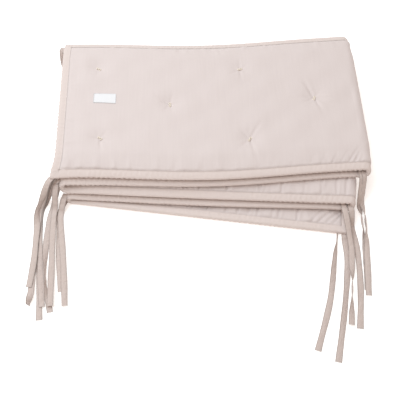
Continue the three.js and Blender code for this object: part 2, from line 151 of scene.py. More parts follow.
# Sections from the top one down: the ends of the near rim, the height of the middle, the heights
# of the drooping rims, and how far the near rim curves out.
SECTIONS = np.array(
    [(-0.3, -0.1635, 0.293, -0.1655, 0.076, 0.0625, 0.0685, 0.064, 0.068, 0.013),
     (-0.284, -0.1725, 0.293, -0.1715, 0.059, 0.047, 0.055, 0.049, 0.055, 0.0115),
     (-0.284, -0.18, 0.262, -0.22, 0.042, 0.031, 0.034, 0.033, 0.033, 0.001),
     (-0.278, -0.1865, 0.262, -0.226, 0.025, 0.0162, 0.0215, 0.019, 0.019, 0.003),
     (-0.278, -0.1895, 0.256, -0.2708, 0.0, 0.0, 0.0, 0.0, 0.0, 0.0)],
    dtype=[(name, float) for name in ("left_x", "left_y", "right_x", "right_y", "level",
                                      "near_left", "near_right", "far_left", "far_right", "bow")])
# Turn of the across direction at the first end, each fold and the last end, clockwise.
STATION_TURNS = np.radians((-0.5, 0.5, 2.5, 5, 7, 7.5))
# Share of its width that the panel lies out to at the same places.
STATION_SPREADS = np.array((0.988, 1.012, 1, 1, 1, 1))

LAST = len(SECTIONS) - 1
goes_right = np.arange(LAST + 1) % 2 == 0
from_x = np.where(goes_right, SECTIONS["left_x"], SECTIONS["right_x"])
from_y = np.where(goes_right, SECTIONS["left_y"], SECTIONS["right_y"])
to_x = np.where(goes_right, SECTIONS["right_x"], SECTIONS["left_x"])
to_y = np.where(goes_right, SECTIONS["right_y"], SECTIONS["left_y"])
section_length = np.hypot(to_x - from_x, to_y - from_y)
section_end = np.cumsum(section_length) + FOLD_LENGTH * np.arange(LAST + 1)
section_start = section_end - section_length
PANEL_LENGTH = section_end[-1]


def mix(low, high, share):
    """low at share 0, high at share 1, in a straight line between them."""
    return low + (high - low) * share


def eased(share):
    """Share limited to 0 to 1, made level at both ends: 3 s squared minus 2 s cubed."""
    share = np.clip(share, 0, 1)
    return share * share * (3 - 2 * share)


def border_fall(distance, reach):
    """One at a border and nothing at the reach: 1 less the share of the reach, squared."""
    return (1 - np.clip(distance / reach, 0, 1)) ** 2


def fold_nearness(along):
    """One round a fold, easing to nothing at the fold zone's end."""
    before = section_end[:-1] - along[..., None]
    after = along[..., None] - section_start[1:]
    distance = np.maximum(np.maximum(before, after), 0).min(axis=-1)
    return 1 - eased(distance / FOLD_ZONE)


def rim_inset(along, across):
    """Distance to the nearest edge."""
    return np.minimum.reduce([across, PANEL_WIDTH - across, along, PANEL_LENGTH - along])


def half_loft(along, across):
    """Half the thickness: squeezed round folds, and easing down to the rim's own at an edge."""
    full = mix(LOFT, FOLD_LOFT, fold_nearness(along)) / 2
    return mix(RIM_LOFT / 2, full, eased(rim_inset(along, across) / RIM_ZONE))


def on_section(index, along, across):
    """A point of a section's middle surface: along its near rim's line, out by the bow, and across.

    Its height is the section's level, less the droop at both rims, plus or minus what opens the
    loops of the folds. The bottom section lies with its underside on the table.
    """
    row = SECTIONS[index]
    share = (along - section_start[index]) / section_length[index]
    turn = mix(STATION_TURNS[index], STATION_TURNS[index + 1], share)
    spread = mix(STATION_SPREADS[index], STATION_SPREADS[index + 1], share)
    x = mix(from_x[index], to_x[index], share) + across * spread * np.sin(turn)
    bow = row["bow"] * np.sin(np.pi * share) ** 2
    y = mix(from_y[index], to_y[index], share) + across * spread * np.cos(turn) - bow
    near_fall = border_fall(across, RIM_ZONE)
    far_fall = border_fall(PANEL_WIDTH - across, RIM_ZONE)
    right_share = np.where(goes_right[index], share, 1 - share)
    near_rim = mix(row["near_left"], row["near_right"], right_share)
    far_rim = mix(row["far_left"], row["far_right"], right_share)
    sag = (near_rim - row["level"]) * near_fall + (far_rim - row["level"]) * far_fall
    rim_share = 1 - np.maximum(near_fall, far_fall) / 2
    rise = 1 - eased((section_end[index] - along) / FOLD_ZONE)
    dip = np.where(index > 0, 1 - eased((along - section_start[index]) / FOLD_ZONE), 0)
    height = row["level"] + sag + LOOP_SWELL * (rise - dip) * rim_share
    end_fall = border_fall(PANEL_LENGTH - along, RIM_ZONE)
    lift = BOTTOM_RIM_LIFT * np.maximum.reduce([near_fall, far_fall, end_fall])
    height = np.where(index == LAST, half_loft(along, across) + lift, height)
    return np.stack([x, y, height], axis=-1)


def panel_middle(along, across):
    """The middle surface. A fold is a half circle from one section's end to the next one's start.

    Its radius is half their difference in height, and it stands out along the sections. The first
    corner is pulled out in a bell, and the flat spot becomes the origin.
    """
    index = np.minimum(np.searchsorted(section_end, along), LAST)
    in_fold = along < section_start[index]
    flat = on_section(index, along, across)
    above = np.maximum(index - 1, 0)
    upper = on_section(above, section_end[above], across)
    lower = on_section(index, section_start[index], across)
    angle = np.pi * np.clip((along - section_end[above]) / FOLD_LENGTH, 0, 1)
    turn = STATION_TURNS[index]
    radius = (upper[..., 2] - lower[..., 2]) / 2
    outwards = np.where(goes_right[above], 1, -1) * radius * np.sin(angle)
    fold = mix(upper, lower, ((1 - np.cos(angle)) / 2)[..., None])
    fold[..., 0] += outwards * np.cos(turn)
    fold[..., 1] -= outwards * np.sin(turn)
    point = np.where(in_fold[..., None], fold, flat)
    corner = np.exp(-((along / CORNER_REACH) ** 2) - (across / CORNER_REACH) ** 2)
    return point + corner[..., None] * CORNER_PULL - FLAT_SPOT


def unit(vectors):
    """Vectors divided by their lengths."""
    return vectors / np.linalg.norm(vectors, axis=-1, keepdims=True)


def panel_directions(along, across):
    """Unit vectors along, across and out of the panel, from differences over a millimetre."""
    step = 0.0005
    forward = unit(panel_middle(np.minimum(along + step, PANEL_LENGTH), across)
                   - panel_middle(np.maximum(along - step, 0), across))
    sideways = unit(panel_middle(along, np.minimum(across + step, PANEL_WIDTH))
                    - panel_middle(along, np.maximum(across - step, 0)))
    return forward, sideways, unit(np.cross(forward, sideways))


# Tufts stand in columns, two and one by turns, and a column that comes on a fold has none.
TUFT_PITCH = 0.146       # from one column to the next
TUFT_ROWS = (0.077, 0.165, 0.253)
NEAR_ROW_SHIFT = 0.009   # how far on along the panel the near row is set
TUFT_SPREAD = 0.019      # radius of a tuft's hollow
TUFT_DEPTH = 0.55        # share of the loft that a tuft takes away
tuft_columns = np.arange(int(PANEL_LENGTH / TUFT_PITCH + 0.5))
column_places = (tuft_columns + 0.5) * TUFT_PITCH
clear_of_folds = fold_nearness(column_places) < 0.5
tuft_keys = [(column, row) for column in tuft_columns[clear_of_folds]
             for row in ((0, 2) if column % 2 == 0 else (1,))]
tufts = np.array([(column_places[column] + (NEAR_ROW_SHIFT if row == 0 else 0), TUFT_ROWS[row])
                  for column, row in tuft_keys])


def tuft_pull(along, across):
    """One at a tuft, falling off as a bell, and nothing round a fold."""
    distance = np.full(np.shape(along), np.inf)
    for tuft_along, tuft_across in tufts:
        distance = np.minimum(distance, np.hypot(along - tuft_along, across - tuft_across))
    return np.exp(-((distance / TUFT_SPREAD) ** 2)) * (1 - fold_nearness(along))


# Creases that run out from the six tufts on the top face: column and row of the tuft, then angle
# from the panel's length in degrees, length and depth in millimetres.
TOP_CREASES = (
    (0, 2, ((-35, 30, 0.9), (15, 26, 0.7), (-97, 30, 1), (160, 24, 0.8))),
    (0, 0, ((-84, 38, 2.6), (50, 30, 1), (185, 26, 1), (-18, 28, 0.9), (120, 22, 0.7))),
    (1, 1, ((143, 44, 2.5), (77, 38, 1.2), (-125, 30, 0.9), (-72, 32, 1), (8, 34, 0.9))),
    (2, 2, ((92, 32, 1.4), (-88, 36, 1.6), (215, 34, 1), (32, 26, 0.9), (-35, 28, 0.9))),
    (2, 0, ((-77, 60, 2.1), (127, 38, 1.8), (57, 54, 1.6), (224, 46, 1), (-10, 30, 0.8))),
    (3, 1, ((112, 60, 2.9), (-70, 46, 2.9), (174, 38, 1.3), (207, 34, 1), (-30, 52, 1.7),
            (-8, 44, 1.3), (50, 30, 0.8))),
)
CREASE_WIDTH = 0.0016    # half its width at the tuft
CREASE_SPREAD = 0.05     # how much wider it is for each metre further out
CREASE_RIDGE = 0.35      # share of its depth that the cloth beside it rises
RIDGE_PLACE = 2.4        # in widths out from a crease's line
GATHER_START = 0.004     # length over which a crease or gather deepens from its tuft or tape
OTHER_CREASES = (5, 8)   # how many run out from any other tuft, up to but without the last
OTHER_LENGTHS = (16, 46)
OTHER_DEPTHS = (0.5, 1.3)
CREASE_REACH = 0.075     # no crease is longer


def trough(off, width, ridge):
    """A bell across a crease's line, less a low ridge that is a bell on either side of it."""
    return (np.exp(-((off / width) ** 2))
            - ridge * np.exp(-(((np.abs(off) - RIDGE_PLACE * width) / width) ** 2)))


def tuft_creases(along, across, seed, listed):
    """Depth of the creases round each tuft: those listed, or else five to seven, at uneven angles.

    A point's place is turned into how far out along a crease it is, and how far off its line. A
    crease is a trough across its line, wider further out and fading along it.
    """
    chance = np.random.default_rng(seed)
    creases = {}
    for key in tuft_keys:
        count = chance.integers(*OTHER_CREASES)
        first_angle = chance.uniform(0, 360)
        angles = first_angle + 360 * (np.arange(count) + chance.uniform(-0.3, 0.3, count)) / count
        lengths = chance.uniform(*OTHER_LENGTHS, count)
        creases[key] = list(zip(angles, lengths, chance.uniform(*OTHER_DEPTHS, count)))
    if listed:
        creases.update({(column, row): table for column, row, table in TOP_CREASES})
    depth = np.zeros(np.shape(along))
    for (tuft_along, tuft_across), key in zip(tufts, tuft_keys):
        from_tuft, beside_tuft = along - tuft_along, across - tuft_across
        near = np.hypot(from_tuft, beside_tuft) < CREASE_REACH
        for angle, length, deepest in creases[key]:
            turn = np.radians(angle)
            out = from_tuft[near] * np.cos(turn) + beside_tuft[near] * np.sin(turn)
            off = beside_tuft[near] * np.cos(turn) - from_tuft[near] * np.sin(turn)
            width = CREASE_WIDTH + CREASE_SPREAD * np.maximum(out, 0)
            fade = eased(out / GATHER_START) * np.clip(1 - out / (length / 1000), 0, 1)
            depth[near] += deepest / 1000 * trough(off, width, CREASE_RIDGE) * fade
    return depth


# Pinches where the edge tape draws the cloth in: section, place along X at the tape, slant (how
# far it leans along X for each millimetre inwards), length and depth in millimetres.
EDGE_PINCHES = (
    (0, 0.274, 0.55, 34, 1.7), (0, 0.262, 0.75, 40, 1.9), (0, 0.246, 0.7, 30, 1.2),
    (0, 0.229, 0.6, 28, 1), (0, 0.208, 0.5, 26, 0.9), (0, 0.186, 0.45, 22, 0.6),
    (0, 0.15, 0.4, 20, 0.5), (0, 0.285, 0.3, 24, 1.2),
    (2, -0.18, 0.1, 30, 0.7), (2, -0.084, 0, 60, 0.9), (2, -0.072, 0.1, 60, 0.9),
    (2, -0.058, 0, 70, 1.8), (2, -0.05, -0.1, 60, 1.3), (2, -0.039, 0, 50, 0.8),
    (2, -0.029, 0.1, 70, 1.7), (2, 0.025, 0.1, 60, 1.8), (2, 0.09, 0, 70, 1),
    (2, 0.099, 0.1, 60, 0.7), (2, 0.132, 0, 80, 1.6), (2, 0.175, 0.1, 70, 0.8),
    (2, 0.209, 0, 80, 0.9), (2, 0.239, 0, 90, 1.3), (2, 0.2565, 0.05, 90, 1.6),
    (4, -0.05, 0, 50, 0.9), (4, -0.042, 0.1, 50, 1.3), (4, -0.019, 0, 50, 0.9),
    (4, -0.012, 0.1, 60, 1.4), (4, 0.0245, 0.1, 60, 1), (4, 0.0485, 0, 80, 1.6),
    (4, 0.069, 0.1, 70, 1), (4, 0.088, 0, 80, 1.7), (4, 0.116, 0.05, 80, 1),
    (4, 0.129, 0, 80, 1.5), (4, 0.165, 0.05, 90, 1.9), (4, 0.192, 0.7, 70, 1.1),
    (4, 0.204, 0.9, 80, 1.5), (4, 0.219, 0.9, 70, 1.2), (4, 0.233, 0.8, 60, 1),
)
PINCH_WIDTH = 0.0017     # half its width at the tape
PINCH_SPREAD = 0.03      # how much wider it is for each metre inwards
PINCH_RIDGE = 0.3
PINCH_START = 0.003
PINCH_REACH = 0.1        # no pinch leans further along the edge
STRIP_GAIN = 1.5         # pinches are deeper on the sections that show only a strip at the edge


def edge_pinches(along, across):
    """Depth of the listed pinches: troughs that run inwards from the tape, slanting, and fade."""
    depth = np.zeros(np.shape(along))
    inwards = across - BINDING_FACE
    for index, place, slant, length, deepest in EDGE_PINCHES:
        pinch = section_start[index] + place - from_x[index]
        near = (np.abs(along - pinch) < PINCH_REACH) & (inwards > 0) & (inwards < length / 1000)
        run_in = inwards[near]
        off = along[near] - pinch - slant * run_in
        fade = eased(run_in / PINCH_START) * (1 - eased(run_in / (length / 1000)))
        gain = 1.0 if index == 0 else STRIP_GAIN
        width = PINCH_WIDTH + PINCH_SPREAD * run_in
        depth[near] += gain * deepest / 1000 * trough(off, width, PINCH_RIDGE) * fade
    return depth


PUCKER_PITCH = 0.012     # mean distance from one gather to the next
PUCKER_SCATTER = 0.4     # share of the pitch by which a gather stands off its place
PUCKER_HEIGHT = 0.0008   # spread of the heights, up and down
PUCKER_WIDTHS = (0.003, 0.006)
PUCKER_LENGTHS = (0.012, 0.04)
PUCKER_SLANT = 0.25      # spread of the slants
PUCKER_REACH = 0.04      # no gather leans further along the edge


def rim_puckers(along, across, seed):
    """Height of the gathers along the edge stitching: short ridges and troughs square to the edge.

    Each is a bell along the edge, uneven in place, width and length, and starts at the tape.
    """
    chance = np.random.default_rng(seed)
    height = np.zeros(np.shape(along))
    edges = ((along, across, PANEL_LENGTH), (along, PANEL_WIDTH - across, PANEL_LENGTH),
             (across, along, PANEL_WIDTH), (across, PANEL_LENGTH - along, PANEL_WIDTH))
    for run, inset, run_length in edges:
        count = int(run_length / PUCKER_PITCH)
        scatter = chance.uniform(-PUCKER_SCATTER, PUCKER_SCATTER, count)
        for place in (np.arange(count) + scatter) * run_length / count:
            size = chance.normal(0, PUCKER_HEIGHT)
            width = chance.uniform(*PUCKER_WIDTHS)
            length = chance.uniform(*PUCKER_LENGTHS)
            slant = chance.normal(0, PUCKER_SLANT)
            from_tape = inset - BINDING_FACE
            near = (np.abs(run - place) < PUCKER_REACH) & (from_tape > 0) & (from_tape < length)
            run_in = from_tape[near]
            bell = np.exp(-(((run[near] - place - slant * run_in) / width) ** 2))
            height[near] += (size * bell * eased(run_in / GATHER_START)
                             * (1 - eased(run_in / length)))
    return height


SWELL_WAVES = 8
SWELL_LENGTHS = (0.05, 0.16)
SWELL_HEIGHT = 0.00022


def soft_swell(along, across, seed):
    """Slow unevenness of the wadding: a sum of long waves in uneven directions."""
    chance = np.random.default_rng(seed)
    height = np.zeros(np.shape(along))
    for _ in range(SWELL_WAVES):
        angle, phase = chance.uniform(0, 2 * np.pi, 2)
        wave = chance.uniform(*SWELL_LENGTHS)
        ahead = along * np.cos(angle) + across * np.sin(angle)
        height += np.sin(2 * np.pi * ahead / wave + phase)
    return height * SWELL_HEIGHT


STRIP_WIDTH = 0.04       # a covered section lies free up to here from its edge
STRIP_FADE = 0.02        # and is pressed flat this much further in
PRESSED_GATHERS = 0.1    # share of the gathers' height that is left between sections
PRESSED_CREASES = 0.5
SWELL_START = 0.006      # length over which the unevenness grows from the tape inwards
SEAM_SWELL = 0.0012      # how far the wadding swells beside the tape's inner edge
SEAM_SWELL_RISE = (0.0124, 0.0022)  # where the swell starts, and the length of its rise
SEAM_SWELL_FALL = (0.0155, 0.02)    # and the same of its fall
PUCKER_SEED, SWELL_SEED, CREASE_SEED = 11, 21, 31


def panel_skin(along, across, side):
    """A point on a face: out from the middle surface by half the loft, less tufts and creases.

    The gathers and the unevenness are added, and are slight where sections press on each other.
    The wadding swells beside the tape's inner edge, up to the tape's own height, and the edge's
    pinches are on the upper face alone.
    """
    inset = rim_inset(along, across)
    open_face = (side > 0) & (along < section_end[0])
    strip = 1 - eased((inset - STRIP_WIDTH) / STRIP_FADE)
    room = np.where(open_face, 1, strip)
    clear = eased((inset - BINDING_FACE) / SWELL_START)
    relief = rim_puckers(along, across, PUCKER_SEED + side) * np.maximum(room, PRESSED_GATHERS)
    relief += soft_swell(along, across, SWELL_SEED + side) * room * clear
    crease_share = np.where(open_face, 1, PRESSED_CREASES)
    relief -= tuft_creases(along, across, CREASE_SEED + side, side > 0) * crease_share
    rise = eased((inset - SEAM_SWELL_RISE[0]) / SEAM_SWELL_RISE[1])
    fall = 1 - eased((inset - SEAM_SWELL_FALL[0]) / SEAM_SWELL_FALL[1])
    relief += SEAM_SWELL * rise * fall * room
    if side > 0:
        relief -= edge_pinches(along, across)
    thick = half_loft(along, across) * (1 - TUFT_DEPTH * tuft_pull(along, across))
    face = panel_directions(along, across)[2]
    point = panel_middle(along, across) + face * (side * (thick + relief))[..., None]
    point[..., 2] = np.where(point[..., 2] < SURFACE_SNAP, 0, point[..., 2])
    return point


def slab(name, upper, lower, lengths, widths, closed=False):
    """A closed skin over two grids of points, its upper and its lower face, with its rim joined.

    Rows run along the piece. A closed one joins its last row to its first. Lengths and widths are
    the cloth's own measures at the rows and columns, and become its UV map, in metres.
    """
    rows, columns = upper.shape[:2]
    row = np.arange(rows if closed else rows - 1)
    r, c = (a.ravel() for a in np.meshgrid(row, np.arange(columns - 1), indexing="ij"))
    corner_rows = r[:, None] + [0, 1, 1, 0]
    corner_columns = c[:, None] + [0, 0, 1, 1]
    below = np.zeros_like(corner_rows)
    parts = [(corner_rows, corner_columns, below),
             (corner_rows[:, ::-1], corner_columns[:, ::-1], below + 1)]
    edge = row[:, None] + [0, 0, 1, 1]
    depth = np.zeros_like(edge) + [0, 1, 1, 0]
    parts.append((edge[:, ::-1], np.zeros_like(edge), depth[:, ::-1]))
    parts.append((edge, np.full_like(edge, columns - 1), depth))
    if not closed:
        edge = np.arange(columns - 1)[:, None] + [0, 0, 1, 1]
        depth = np.zeros_like(edge) + [0, 1, 1, 0]
        parts.append((np.zeros_like(edge), edge, depth))
        parts.append((np.full_like(edge, rows - 1), edge[:, ::-1], depth[:, ::-1]))
    face_rows, face_columns, face_depth = (np.concatenate(group) for group in zip(*parts))
    faces = face_depth * rows * columns + (face_rows % rows) * columns + face_columns
    mesh = bpy.data.meshes.new(name)
    mesh.from_pydata(np.concatenate([upper, lower]).reshape(-1, 3).tolist(), [], faces.tolist())
    uvs = np.stack([lengths[face_rows], widths[face_columns]], axis=-1)
    mesh.uv_layers.new(name="cloth").data.foreach_set("uv", uvs.astype(np.float32).ravel())
    mesh.polygons.foreach_set("use_smooth", np.ones(len(faces), dtype=bool))
    mesh.update()
    return add_object(name, mesh)


def spaced(low, high, spacing):
    """Even steps from low up to, but without, high."""
    return np.linspace(low, high, max(1, round((high - low) / spacing)), endpoint=False)


FINE = 0.0025            # grid spacing on the first, third and fifth sections, face side up
COARSE = 0.006           # on the two between them, which lie face down
FOLD_SPACING = 0.003
# Distances from an edge of the close grid lines under the tape and beside its stitching.
SEAM_LINES = np.array((0, 0.004, 0.008, 0.0112, 0.0122, 0.013, 0.014, 0.0155, 0.0175, 0.0198))
run_lines = []
for k in range(LAST + 1):
    first = section_start[k] + (SEAM_LINES[-1] if k == 0 else 0)
    final = section_end[k] - (SEAM_LINES[-1] if k == LAST else 0)
    run_lines.append(spaced(first, final, FINE if k % 2 == 0 else COARSE))
    if k < LAST:
        run_lines.append(spaced(section_end[k], section_end[k] + FOLD_LENGTH, FOLD_SPACING))
along_lines = np.concatenate([SEAM_LINES[:-1], *run_lines, PANEL_LENGTH - SEAM_LINES[::-1]])
across_lines = np.concatenate([SEAM_LINES[:-1],
                               spaced(SEAM_LINES[-1], PANEL_WIDTH - SEAM_LINES[-1], FINE),
                               PANEL_WIDTH - SEAM_LINES[::-1]])
grid_along, grid_across = np.meshgrid(along_lines, across_lines, indexing="ij")
panel = slab("panel", panel_skin(grid_along, grid_across, 1),
             panel_skin(grid_along, grid_across, -1), along_lines, across_lines)


def math_node(tree, operation, first, second=None):
    """A math node whose operands are sockets or numbers."""
    node = tree.nodes.new("ShaderNodeMath")
    node.operation = operation
    for place, operand in enumerate((first, second)):
        if isinstance(operand, bpy.types.NodeSocket):
            tree.links.new(operand, node.inputs[place])
        elif operand is not None:
            node.inputs[place].default_value = operand
    return node.outputs[0]


SLUB_RATES = (260.0, 14.0, 1.0)  # slubs in a metre, along the cloth and across it
# Plain weave: warp and weft threads over and under each other, as the product of two sines.
weave = bpy.data.node_groups.new("plain_weave", "ShaderNodeTree")
for name, kind, way in (("Cloth", "Vector", "INPUT"), ("Threads per metre", "Float", "INPUT"),
                        ("Height", "Float", "OUTPUT"), ("Slub", "Float", "OUTPUT")):
    weave.interface.new_socket(name, in_out=way, socket_type="NodeSocket" + kind)
weave_in, weave_out = (weave.nodes.new("NodeGroup" + side) for side in ("Input", "Output"))
split = weave.nodes.new("ShaderNodeSeparateXYZ")
weave.links.new(weave_in.outputs["Cloth"], split.inputs[0])
pitch = math_node(weave, "MULTIPLY", weave_in.outputs["Threads per metre"], np.pi)
warp = math_node(weave, "SINE", math_node(weave, "MULTIPLY", split.outputs["X"], pitch))
weft = math_node(weave, "SINE", math_node(weave, "MULTIPLY", split.outputs["Y"], pitch))
weave.links.new(math_node(weave, "MULTIPLY", warp, weft), weave_out.inputs["Height"])
slub_stretch = weave.nodes.new("ShaderNodeVectorMath")
slub_stretch.operation = "MULTIPLY"
slub_stretch.inputs[1].default_value = SLUB_RATES
weave.links.new(weave_in.outputs["Cloth"], slub_stretch.inputs[0])
slub_noise = fill_inputs(weave.nodes.new("ShaderNodeTexNoise"), {"Scale": 1.0, "Detail": 2.0})
weave.links.new(slub_stretch.outputs[0], slub_noise.inputs["Vector"])
weave.links.new(slub_noise.outputs["Fac"], weave_out.inputs["Slub"])

SHEEN, SHEEN_ROUGHNESS, SPECULAR = 0.25, 0.6, 0.2
THREAD_RELIEF = 0.00006  # height of a thread, as a bump
THREAD_STRENGTH = 0.5
CRUMPLE_DETAIL = 3.0
SEAM_SHADE_REACH = 0.0016      # how far a line of painted shade darkens the cloth beside it


def cloth_material(name, colour, roughness, threads, crumple_size, crumple_depth, slub_tone,
                   seam_shade_lines=()):
    """Woven cotton: colour with faint slubs, threads and soft crumples as bumps, and a sheen.

    Seam shade lines darken the cloth along a line across it, as painted shade: place, and tone.
    """
    material = new_material(name, {
        "Roughness": roughness, "Sheen Weight": SHEEN, "Sheen Roughness": SHEEN_ROUGHNESS,
        "Specular IOR Level": SPECULAR})
    tree = material.node_tree
    shader = tree.nodes["Principled BSDF"]
    cloth_map = tree.nodes.new("ShaderNodeUVMap")
    cloth_map.uv_map = "cloth"
    woven = tree.nodes.new("ShaderNodeGroup")
    woven.node_tree = weave
    fill_inputs(woven, {"Threads per metre": threads})
    tree.links.new(cloth_map.outputs[0], woven.inputs["Cloth"])
    tone = fill_inputs(tree.nodes.new("ShaderNodeMapRange"),
                       {"To Min": 1 - slub_tone, "To Max": 1 + slub_tone})
    tree.links.new(woven.outputs["Slub"], tone.inputs["Value"])
    tint = tree.nodes.new("ShaderNodeMix")
    tint.data_type = "RGBA"
    tint.blend_type = "MULTIPLY"
    fill_inputs(tint, {"Factor": 1.0, "A": (*colour, 1)})
    tree.links.new(tint.outputs["Result"], shader.inputs["Base Color"])
    across = tree.nodes.new("ShaderNodeSeparateXYZ")
    tree.links.new(cloth_map.outputs[0], across.inputs[0])
    shade = tone.outputs["Result"]
    # Painted shade: the cloth's colour is made darker along each line, easing out to the reach.
    for place, seam_shade_tone in seam_shade_lines:
        beside = math_node(tree, "SUBTRACT", across.outputs["Y"], place)
        from_seam = math_node(tree, "ABSOLUTE", beside)
        line = tree.nodes.new("ShaderNodeMapRange")
        line.interpolation_type = "SMOOTHSTEP"
        fill_inputs(line, {"From Max": SEAM_SHADE_REACH, "To Min": seam_shade_tone, "To Max": 1.0})
        tree.links.new(from_seam, line.inputs["Value"])
        shade = math_node(tree, "MULTIPLY", shade, line.outputs["Result"])
    tree.links.new(shade, tint.inputs["B"])
    crumple = fill_inputs(tree.nodes.new("ShaderNodeTexNoise"),
                          {"Scale": 1 / crumple_size, "Detail": CRUMPLE_DETAIL})
    tree.links.new(cloth_map.outputs[0], crumple.inputs["Vector"])
    soft_bump = fill_inputs(tree.nodes.new("ShaderNodeBump"), {"Distance": crumple_depth})
    tree.links.new(crumple.outputs["Fac"], soft_bump.inputs["Height"])
    thread_bump = fill_inputs(tree.nodes.new("ShaderNodeBump"),
                              {"Distance": THREAD_RELIEF, "Strength": THREAD_STRENGTH})
    tree.links.new(woven.outputs["Height"], thread_bump.inputs["Height"])
    tree.links.new(soft_bump.outputs[0], thread_bump.inputs["Normal"])
    tree.links.new(thread_bump.outputs[0], shader.inputs["Normal"])
    return material


panel.data.materials.append(cloth_material(
    "panel_cotton", colour=(0.68, 0.60, 0.58), roughness=0.9, threads=2400.0,
    crumple_size=0.03, crumple_depth=0.0006, slub_tone=0.03))
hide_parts("quilted_panel")
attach(panel, "root")


# ---- Edge binding ----
# A bias-cut cotton tape, folded round the whole edge of the panel and sewn through close to its
# own inner edges. The wadding swells it a little, and it ripples on the slant where it is eased.

BINDING_CLOTH = 0.001    # thickness of the tape's doubled cloth
EDGE_CLOTH = 0.3         # share of it at the tape's inner edges
BINDING_GAP = 0.00035    # from the panel's faces
BINDING_RIM_GAP = 0.00085  # from the panel's rim
BINDING_BULGE = 0.0032   # how far the turned rim stands out
BINDING_HOLLOW = 0.0006  # and how far its inner skin does past the gap
BINDING_PUFF = 0.0006
PUFF_START = 0.15        # share of the face's width, from its inner edge, that lies flat
BINDING_WIDTH = 0.037    # of the whole tape, laid flat
FACE_STEPS, RIM_STEPS = 5, 8
STATION_SPACING = 0.0026
RIPPLE_PITCH = 0.0095
RIPPLE_DRIFT = 0.05      # length along the rim over which the pitch wavers
RIPPLE_SPELL = 0.083     # and over which the ripples grow and shrink
RIPPLE_HEIGHT = 0.0007
RIPPLE_LEAN = 0.5        # how far a ripple slants along the rim for each metre of the face
SCALLOP = 0.32           # share by which the ripples widen and narrow the turned rim


def binding_stations():
    """Places along the whole rim, near edge first: distance along the panel and across it."""
    inner_edges = [BINDING_FACE, PANEL_LENGTH - BINDING_FACE]
    alongs = np.unique(np.concatenate([spaced(0, PANEL_LENGTH, STATION_SPACING),
                                       section_end, section_start, inner_edges]))
    inner_edges = [BINDING_FACE, PANEL_WIDTH - BINDING_FACE]
    acrosses = np.unique(np.concatenate([spaced(0, PANEL_WIDTH, STATION_SPACING),
                                         [PANEL_WIDTH], inner_edges]))
    along = np.concatenate([alongs[:-1], np.full(len(acrosses) - 1, PANEL_LENGTH),
                            alongs[:0:-1], np.zeros(len(acrosses) - 1)])
    across = np.concatenate([np.zeros(len(alongs) - 1), acrosses[:-1],
                             np.full(len(alongs) - 1, PANEL_WIDTH), acrosses[:0:-1]])
    return along, across


def distances_along(points):
    """How far each of a row of points is from the first: a running sum of the gaps."""
    return np.concatenate([[0], np.cumsum(np.linalg.norm(np.diff(points, axis=0), axis=1))])


def binding_skins(along, across):
    """The tape's outer and inner skins, as profiles round the rim carried along it.

    A profile runs from the upper inner edge straight to the rim, round it in half an ellipse, and
    back along the lower face. The outer skin lies the cloth's thickness outside the inner one,
    with a slight puff between stitching and rim, and slanting ripples: sines along the rim whose
    pitch and strength waver, and which scallop the turned rim as well.
    """
    forward, sideways, face = panel_directions(along, across)
    across_sign = np.where(across == 0, -1, 0) + np.where(across == PANEL_WIDTH, 1, 0)
    along_sign = np.where(along == 0, -1, 0) + np.where(along == PANEL_LENGTH, 1, 0)
    outwards = across_sign[:, None] * sideways + along_sign[:, None] * forward
    inset_along = np.clip(along, BINDING_FACE, PANEL_LENGTH - BINDING_FACE)
    inset_across = np.clip(across, BINDING_FACE, PANEL_WIDTH - BINDING_FACE)
    inset = panel_middle(inset_along, inset_across)
    inset_face = panel_directions(inset_along, inset_across)[2]
    inset_half = half_loft(inset_along, inset_across)
    rim = panel_middle(along, across)
    ring = distances_along(rim)
    flat_shares = np.linspace(0, 1, FACE_STEPS + 1)[:-1]
    angles = np.linspace(np.pi / 2, -np.pi / 2, RIM_STEPS)
    drift = 2 * np.sin(ring / RIPPLE_DRIFT)
    spell = np.sin(ring / RIPPLE_SPELL)
    wave = np.sin(2 * np.pi * ring / RIPPLE_PITCH + drift)
    scallop = 1 + SCALLOP * (0.45 + 0.55 * spell) * wave
    lean = RIPPLE_LEAN * flat_shares * BINDING_FACE
    ripple = np.sin(2 * np.pi * (ring[:, None] + lean) / RIPPLE_PITCH + drift[:, None])
    strength = RIPPLE_HEIGHT * (0.55 + 0.45 * spell[:, None])
    puff_share = np.clip((flat_shares - PUFF_START) / (1 - PUFF_START), 0, 1)
    height = BINDING_PUFF * np.sin(np.pi * puff_share)
    height = height + strength * ripple * np.sin(np.pi * flat_shares)
    skins = []
    for cloth in (BINDING_CLOTH, 0):
        face_lift = (inset_half + (BINDING_GAP + cloth * EDGE_CLOTH))[:, None]
        rim_lift = RIM_LOFT / 2 + (BINDING_GAP + cloth)
        past_gap = BINDING_BULGE - BINDING_RIM_GAP if cloth else BINDING_HOLLOW
        top = (inset + inset_face * face_lift)[:, None]
        bottom = (inset - inset_face * face_lift)[:, None]
        top_rim = (rim + outwards * BINDING_RIM_GAP + face * rim_lift)[:, None]
        bottom_rim = (rim + outwards * BINDING_RIM_GAP - face * rim_lift)[:, None]
        reach = BINDING_RIM_GAP + past_gap * scallop[:, None] * np.cos(angles)[None, :]
        out = outwards[:, None] * reach[..., None]
        up = face[:, None] * (rim_lift * np.sin(angles))[None, :, None]
        turned = rim[:, None] + out + up
        over = mix(top, top_rim, flat_shares[None, :, None])
        under = mix(bottom_rim, bottom, (1 - flat_shares[::-1])[None, :, None])
        if cloth:
            over = over + face[:, None] * height[..., None]
            under = under - face[:, None] * height[:, ::-1, None]
        skins.append(np.concatenate([over, turned, under], axis=1))
    return skins, ring


